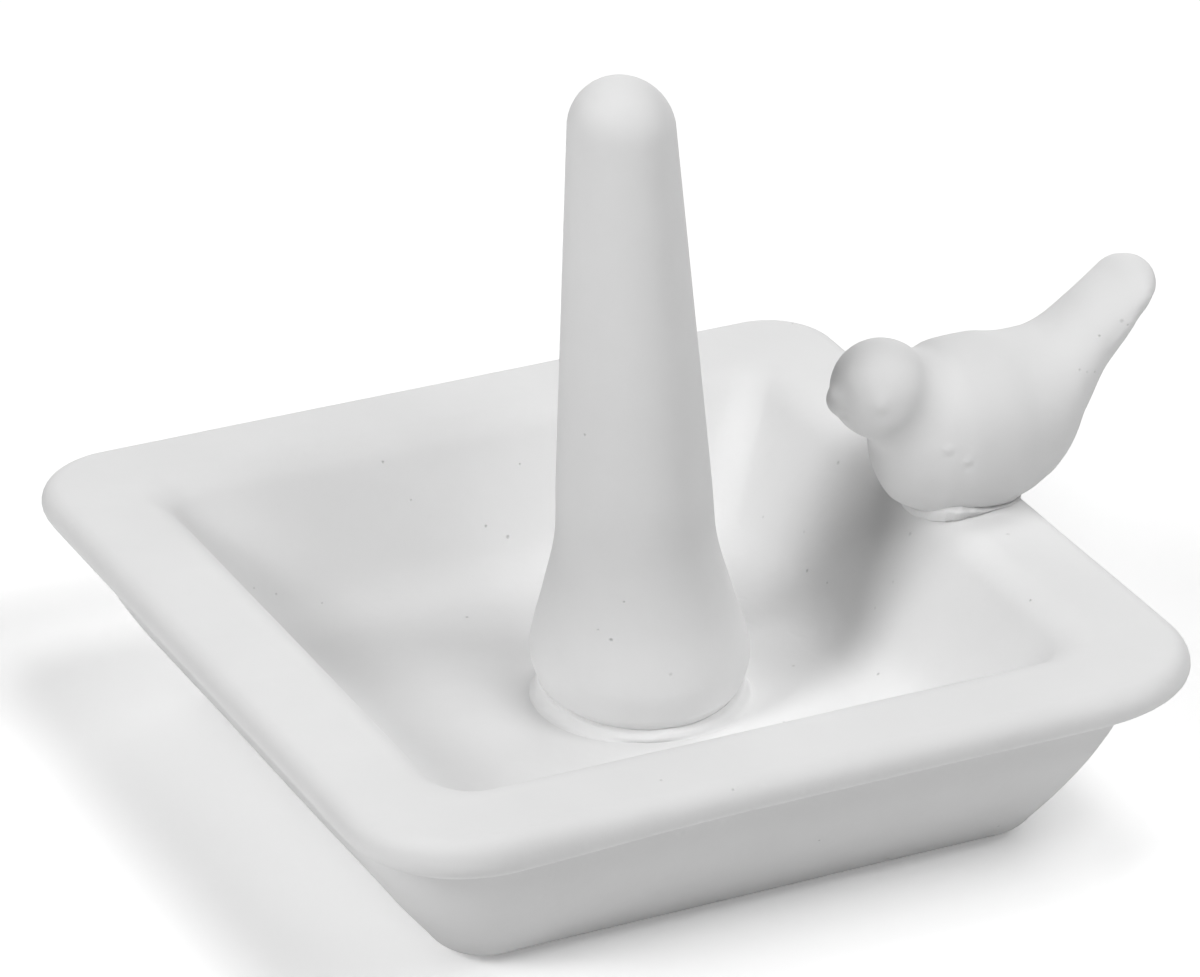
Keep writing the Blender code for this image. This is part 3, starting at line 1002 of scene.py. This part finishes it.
@dataclass
class Bird:
    """The small bird on the dish's rim, facing the post, its tail raised."""

    dish: Dish
    inset: float = 0.0065
    body_start: float = -0.0114
    body_length: float = 0.0349
    body_height: float = 0.0250
    body_width: float = 0.01836
    head_radius: float = 0.00582
    head_place: tuple[float, float] = (-0.01078, 0.01501)
    beak_place: tuple[float, float] = (-0.0148, 0.01466)
    beak_length: float = 0.00564
    beak_width: float = 0.0047
    cell: float = 0.00040
    passes: int = 16
    neck_share: float = 0.5
    neck_reach: float = 0.0070
    neck_passes: int = 260
    beak_reach: float = 0.0026
    beak_passes: int = 110
    sides: int = 64
    curve_steps: int = 6
    block_reach: float = 0.016
    sharp_angle: float = math.radians(60)
    # From breast to tail tip: place along the length, then top and bottom as shares of the height over the rim,
    # and half the width as a share of the widest
    stations: tuple[tuple[float, float, float, float], ...] = (
        (0.000, 0.348, 0.348, 0.000),
        (0.023, 0.466, 0.151, 0.347),
        (0.069, 0.578, 0.031, 0.585),
        (0.140, 0.680, -0.028, 0.804),
        (0.226, 0.747, -0.070, 0.946),
        (0.327, 0.758, -0.091, 1.000),
        (0.427, 0.746, -0.084, 0.993),
        (0.513, 0.729, -0.039, 0.943),
        (0.599, 0.732, 0.048, 0.873),
        (0.685, 0.786, 0.245, 0.717),
        (0.771, 0.871, 0.465, 0.609),
        (0.857, 0.936, 0.642, 0.614),
        (0.928, 0.990, 0.781, 0.590),
        (0.974, 0.988, 0.857, 0.416),
        (1.000, 0.969, 0.969, 0.000),
    )
    # The eyes on both sides, the gap under the beak and two dents in the breast
    marks: tuple[Mark, ...] = (
        Mark((0.0309, -0.0050, 0.0405), 0.0018, 0.00018),
        Mark((0.0309, 0.0050, 0.0405), 0.0018, 0.00018),
        Mark((0.0311, -0.0051, 0.0390), 0.0014, -0.00014),
        Mark((0.0311, 0.0051, 0.0390), 0.0014, -0.00014),
        Mark((0.0284, -0.0018, 0.0383), 0.0012, -0.00022),
        Mark((0.0384, -0.0077, 0.0345), 0.0009, 0.00022),
        Mark((0.0386, -0.0076, 0.0336), 0.0009, -0.00012),
        Mark((0.0405, -0.0087, 0.0331), 0.0008, 0.00026),
        Mark((0.0405, -0.0086, 0.0323), 0.0009, -0.00012),
    )

    def seat(self) -> Vector:
        """Gives the middle of the bird's seat on the rim."""
        return Vector((self.dish.width / 2 - self.inset, 0, self.dish.depth))

    def body(self) -> Mesh:
        """Lofts the body and the tail through upright sections.

        Returns:
            Their mesh, measured from the seat.
        """
        sections = []
        for along, top, bottom, half_width in self.stations:
            x = self.body_start + along * self.body_length
            sections.append((Vector((x, top)), Vector((x, bottom)), Vector((x, half_width))))
        tops, bottoms, widths = (smooth_curve(line, self.curve_steps) for line in zip(*sections))
        rings = []
        for top, bottom, width in list(zip(tops, bottoms, widths))[1:-1]:
            middle = (top.y + bottom.y) / 2 * self.body_height
            high = (top.y - bottom.y) / 2 * self.body_height
            wide = width.y * self.body_width / 2
            ring = []
            for side in range(self.sides):
                angle = math.tau * side / self.sides
                ring.append(Vector((top.x, wide * math.sin(angle), middle + high * math.cos(angle))))
            rings.append(ring)
        bm, caps = skin(rings, capped=True)
        for cap, top in zip(caps, (tops[0], tops[-1])):
            fan = bmesh.ops.poke(bm, faces=[cap])
            fan["verts"][0].co = Vector((top.x, 0, top.y * self.body_height))
        return bm

    def ball(self, place: tuple[float, float], length: float, width: float) -> Mesh:
        """Shapes a round form, measured from the seat.

        Args:
            place: Its middle (along, up).
            length: Its length.
            width: Its width and height.

        Returns:
            Its mesh.
        """
        bm = bmesh.new()
        matrix = Matrix.Translation((place[0], 0, place[1])) @ Matrix.Diagonal((length / width, 1, 1, 1))
        rows = self.sides // 2
        bmesh.ops.create_uvsphere(bm, u_segments=self.sides, v_segments=rows, radius=width / 2, matrix=matrix)
        return bm

    def form(self, name: str) -> Piece:
        """Makes the whole bird before its seat is cut.

        Args:
            name: The object's name.

        Returns:
            The bird, placed on the rim.
        """
        helpers = []
        head = self.ball(self.head_place, 2 * self.head_radius, 2 * self.head_radius)
        beak = self.ball(self.beak_place, self.beak_length, self.beak_width)
        for part, bm in (("body", self.body()), ("head", head), ("beak", beak)):
            bmesh.ops.translate(bm, vec=self.seat(), verts=bm.verts)
            helpers.append(finished(f"{name}_{part}", bm))
        bird, head, beak = helpers
        bird.name = name
        for helper in (head, beak):
            add_boolean(bird, helper, Change.JOIN)
        remesh(bird, self.cell, self.passes)
        bake(bird, head, beak)
        x, z = self.head_place
        neck = self.seat() + Vector((x + self.neck_share * self.head_radius, 0, z))
        fill_creases(bird, neck, self.head_radius, self.neck_reach, self.neck_passes)
        x, z = self.beak_place
        fill_creases(bird, self.seat() + Vector((x, 0, z)), self.beak_reach, self.beak_reach, self.beak_passes)
        return bird

    def rim_section(self) -> Ring:
        """Gives the section of the rim under the bird, from the dish's base over the rim to its floor."""
        outside, lip, rim, inside = self.dish.outline()
        return outside[:-1] + lip + rim + inside

    def rim_block(self) -> Piece:
        """Makes a length of the rim under the bird.

        Returns:
            The block.
        """
        bm = bmesh.new()
        ring = [bm.verts.new((point.x, -self.block_reach, point.y)) for point in self.rim_section()]
        face = bm.faces.new(ring)
        grown = bmesh.ops.extrude_face_region(bm, geom=[face], use_keep_orig=True)["geom"]
        ends = [item for item in grown if isinstance(item, bmesh.types.BMVert)]
        bmesh.ops.translate(bm, vec=(0, 2 * self.block_reach, 0), verts=ends)
        return finished("bird_seat_block", bm)

    def on_rim(self, move: Vector) -> tuple[Vector, Vector]:
        """Walks over the rim's skin from the middle of the seat.

        Args:
            move: How far across and along the rim, measured on its skin.

        Returns:
            The place reached and the skin's normal there.
        """
        section, seat = self.rim_section(), self.seat()
        spans = list(zip(section, section[1:]))
        middle = next(i for i, (low, high) in enumerate(spans) if low.x > seat.x >= high.x and low.y > seat.z - WELD)
        left = abs(move.x)
        if move.x > 0:
            walk = [(seat.xz, spans[middle][0])] + [(high, low) for low, high in reversed(spans[:middle])]
        else:
            walk = [(seat.xz, spans[middle][1])] + spans[middle + 1 :]
        for start, end in walk:
            if left <= (end - start).length:
                break
            left -= (end - start).length
        along = (end - start).normalized()
        point = start + along * left
        normal = Vector((-along.y, 0, along.x)) if move.x > 0 else Vector((along.y, 0, -along.x))
        return Vector((point.x, seat.y + move.y, point.y)), normal

    def build(self) -> Piece:
        """Makes the bird, seated on the rim.

        Returns:
            The bird.
        """
        bird = self.form("cast_bird")
        press_marks(bird, self.marks)
        block = self.rim_block()
        add_boolean(bird, block, Change.CUT)
        bake(bird, block)
        bird.data.set_sharp_from_angle(angle=self.sharp_angle)
        return bird


@dataclass
class BirdSlip:
    """The slip between the bird's belly and the rim: a band with a ledge along its top and a groove under it."""

    bird: Bird
    spots: tuple[SeatSpot, ...] = BIRD_SLIP
    # Points on the ledge: the share of the way from the belly to the crest, and the share of the ledge's rise
    ledge_shape: Pairs = ((0.0, 1.0), (0.6, 0.7), (1.0, 0.2))
    # Points on the face: the share of the way from the crest to the foot
    face_shape: tuple[float, ...] = (0.2, 0.7)
    sides: int = 300
    curve_steps: int = 3
    start: float = 0.003
    stride: float = 0.00004
    limit: float = 0.010
    depth: float = 0.0004
    overhang_share: float = 0.3
    ledge_share: float = 0.4
    least_ledge: float = 0.00006
    lump_size: float = 0.0024
    lump_share: float = 0.09

    def crease(self, belly: BVHTree, out: Vector) -> float:
        """Finds where the belly leaves the rim.

        Args:
            belly: The belly's skin.
            out: The level direction from the middle of the seat.

        Returns:
            The distance over the rim's skin.
        """
        away = self.start
        while away < self.limit:
            place, _ = self.bird.on_rim(out * away)
            skin_place, skin_normal, _, _ = belly.find_nearest(place)
            if (place - skin_place).dot(skin_normal) > 0:
                break
            away += self.stride
        return away

    def section(self, belly: BVHTree, spot: SeatSpot) -> Ring:
        """Draws the slip's section, from inside the belly over its ledge and face and back inside the rim.

        Args:
            belly: The belly's skin.
            spot: How the slip lies there.

        Returns:
            Its points.
        """
        bearing = math.radians(spot.bearing)
        out = Vector((math.cos(bearing), math.sin(bearing), 0))
        away = self.crease(belly, out)
        crease, _ = self.bird.on_rim(out * away)
        width = spot.width * (1 + unevenness(crease, self.lump_size, Seed.SEAT_WIDTH) * self.lump_share)
        height = spot.height * (1 + unevenness(crease, self.lump_size, Seed.SEAT_HEIGHT) * self.lump_share)
        foot, normal = self.bird.on_rim(out * (away + width))
        crest = Vector((foot.x, foot.y, crease.z + height)) + out * self.overhang_share * spot.height
        inner = belly.ray_cast(crest + out * self.start, -out)[0] or crest
        crest += out * max(self.least_ledge - (crest - inner).dot(out), 0)
        lower = foot + normal * spot.groove
        hidden = foot - out * spot.groove - normal * self.least_ledge
        ledge = Vector((0, 0, self.ledge_share * spot.height + self.least_ledge))
        face = [inner.lerp(crest, share) + ledge * rise for share, rise in self.ledge_shape]
        face += [crest.lerp(lower, share) + out * self.least_ledge for share in self.face_shape]
        inside = [
            hidden - normal * self.depth,
            crease - normal * self.depth - out * self.depth,
            inner - out * self.depth,
        ]
        return smooth_curve(face + [lower, hidden], self.curve_steps) + inside

    def build(self) -> Piece:
        """Sweeps the slip's section round the bird's seat.

        Returns:
            The slip, whose hidden sides lie inside the bird and the rim.
        """
        body = self.bird.body()
        bmesh.ops.translate(body, vec=self.bird.seat(), verts=body.verts)
        bmesh.ops.recalc_face_normals(body, faces=body.faces)
        belly = BVHTree.FromBMesh(body)
        body.free()
        rings = []
        for i in range(self.sides):
            bearing = between(i, 0, self.sides, self.spots[0].bearing, self.spots[-1].bearing)
            rings.append(self.section(belly, spot_at(self.spots, bearing)))
        bm, _ = skin(rings + rings[:1], capped=False)
        return finished("bird_slip_bead", bm)


# Studio


@dataclass(frozen=True)
class SoftBox:
    """A large soft lamp that looks at the object."""

    name: str
    azimuth: float
    elevation: float
    size: float
    level: float
    distance: float = 1.2

    def place(self, target: Vector) -> None:
        """Puts up the lamp.

        Args:
            target: What it lights.
        """
        energy = self.level * math.pi**2 * self.distance**2
        light = configured(bpy.data.lights.new(self.name, "AREA"), shape="DISK", size=self.size, energy=energy)
        lamp = bpy.data.objects.new(self.name, light)
        back = heading(math.radians(self.azimuth), math.radians(self.elevation))
        lamp.location = target + back * self.distance
        lamp.rotation_mode = "QUATERNION"
        lamp.rotation_quaternion = (-back).to_track_quat("-Z", "Y")
        bpy.context.scene.collection.objects.link(lamp)


@dataclass
class Studio:
    """The plain pale floor and the soft light."""

    floor_size: float = 8.0
    floor_drop: float = 0.00005
    floor_grey: float = 0.88
    floor_glow: float = 0.28
    sky_level: float = 0.01
    target: tuple[float, float, float] = (0.0, 0.0, 0.03)
    lamps: tuple[SoftBox, ...] = (
        SoftBox("front", 12.0, 52.0, 0.5, 0.190),
        SoftBox("front_right", 40.0, 54.0, 0.5, 0.255),
        SoftBox("left", -80.0, 38.0, 0.35, 0.31),
        SoftBox("low_left", -75.0, 30.0, 0.4, 0.16),
        SoftBox("overhead", 115.0, 76.0, 0.5, 0.265),
        SoftBox("low_back", 150.0, 12.0, 0.9, 0.44),
    )

    def floor(self) -> None:
        """Lays the floor, which keeps the object's shadow and otherwise shows white."""
        bm = bmesh.new()
        place = Matrix.Translation((0, 0, -self.floor_drop))
        bmesh.ops.create_grid(bm, x_segments=1, y_segments=1, size=self.floor_size / 2, matrix=place)
        floor = finished("floor", bm)
        floor.data.materials.append(self.floor_material())

    def seen(self, tree: Tree) -> Socket:
        """Adds nodes that tell the camera's, mirrored and refracted rays from the light's.

        Args:
            tree: The nodes.

        Returns:
            A socket that is 1 for what is seen.
        """
        path = tree.nodes.new("ShaderNodeLightPath").outputs
        first = add_math(tree, "MAXIMUM", path["Is Camera Ray"], path["Is Glossy Ray"])
        return add_math(tree, "MAXIMUM", first, path["Is Transmission Ray"])

    def floor_material(self) -> bpy.types.Material:
        """Makes the floor's pale finish.

        Returns:
            The material.
        """
        material = bpy.data.materials.new("pale_floor")
        material.use_nodes = True
        tree = material.node_tree
        tree.nodes.clear()
        strength = add_math(tree, "MULTIPLY", self.seen(tree), self.floor_glow)
        glow = add_node(tree, "Emission", {"Color": WHITE, "Strength": strength})
        matte = add_node(tree, "BsdfDiffuse", {"Color": (self.floor_grey, self.floor_grey, self.floor_grey, 1)})
        both = add_node(tree, "AddShader", {0: matte.outputs["BSDF"], 1: glow.outputs["Emission"]})
        add_node(tree, "OutputMaterial", {"Surface": both.outputs["Shader"]})
        return material

    def sky(self) -> None:
        """Sets the even light from all round, which shows as white."""
        world = bpy.data.worlds.new("studio")
        bpy.context.scene.world = world
        world.use_nodes = True
        tree = world.node_tree
        level = add_node(tree, "MapRange", {"Value": self.seen(tree), "To Min": self.sky_level, "To Max": 1.0})
        background = tree.nodes["Background"]
        background.inputs["Color"].default_value = WHITE
        tree.links.new(level.outputs["Result"], background.inputs["Strength"])

    def build(self) -> None:
        """Builds the whole studio and sets the view."""
        self.floor()
        self.sky()
        for lamp in self.lamps:
            lamp.place(Vector(self.target))
        bpy.context.scene.view_settings.view_transform = "Standard"


@dataclass(frozen=True)
class PhotoCamera:
    """A long lens that looks down on the dish's front corner."""

    azimuth: float = -26.9688
    elevation: float = 26.9536
    roll: float = 0.9026
    distance: float = 0.86776
    aside: float = -0.00125
    above: float = 0.00856
    target: tuple[float, float, float] = (0.0, 0.0, 0.0248)
    sensor: float = 36.0
    lens: float = 232.904
    clip: tuple[float, float] = (0.05, 20.0)

    def build(self) -> None:
        """Puts up the camera and makes it the scene's."""
        azimuth, elevation, roll = (math.radians(angle) for angle in (self.azimuth, self.elevation, self.roll))
        back = heading(azimuth, elevation)
        level = Vector((math.cos(azimuth), math.sin(azimuth), 0))
        upright = back.cross(level)
        right = level * math.cos(roll) + upright * math.sin(roll)
        up = -level * math.sin(roll) + upright * math.cos(roll)
        place = Vector(self.target) + back * self.distance + right * self.aside + up * self.above
        data = configured(bpy.data.cameras.new("camera"), sensor_width=self.sensor, lens=self.lens)
        data.clip_start, data.clip_end = self.clip
        camera = bpy.data.objects.new("camera", data)
        matrix = Matrix((right, up, back)).transposed().to_4x4()
        matrix.translation = place
        camera.matrix_world = matrix
        bpy.context.scene.collection.objects.link(camera)
        bpy.context.scene.camera = camera


def report(piece: Piece) -> None:
    """Logs a finished piece."""
    triangles = sum(len(face.vertices) - 2 for face in piece.data.polygons)
    log.info("%s: %d vertices, %d triangles", piece.name, len(piece.data.vertices), triangles)


def main() -> None:
    """Builds the ring holder and its studio."""
    logging.basicConfig(level=logging.INFO, format="%(name)s: %(message)s")
    dish_clay = Bisque("dish_clay", pits=DISH_PITS).make()
    post_clay = Bisque("post_clay", pits=POST_PITS).make()
    bird_clay = Bisque("bird_clay", pits=BIRD_PITS).make()
    slip = Bisque("slip_clay", speck_spacing=0.03, ripple_size=0.0025).make()
    PhotoCamera().build()
    dish, post = Dish(), RingPost()
    bird = Bird(dish)
    makers: tuple[tuple[Callable[[], Piece], str, Slot, bpy.types.Material], ...] = (
        (dish.build, "dish", Slot.BISQUE, dish_clay),
        (post.build, "ring_post", Slot.BISQUE, post_clay),
        (PostSlip(post).build, "post_slip_joint", Slot.SLIP, slip),
        (bird.build, "bird", Slot.BISQUE, bird_clay),
        (BirdSlip(bird).build, "bird_slip_joint", Slot.SLIP, slip),
    )
    for build, node, slot, material in makers:
        piece = build()
        put_in_place(piece, node, material)
        report(piece)
    Studio().build()


if __name__ == "__main__":
    main()
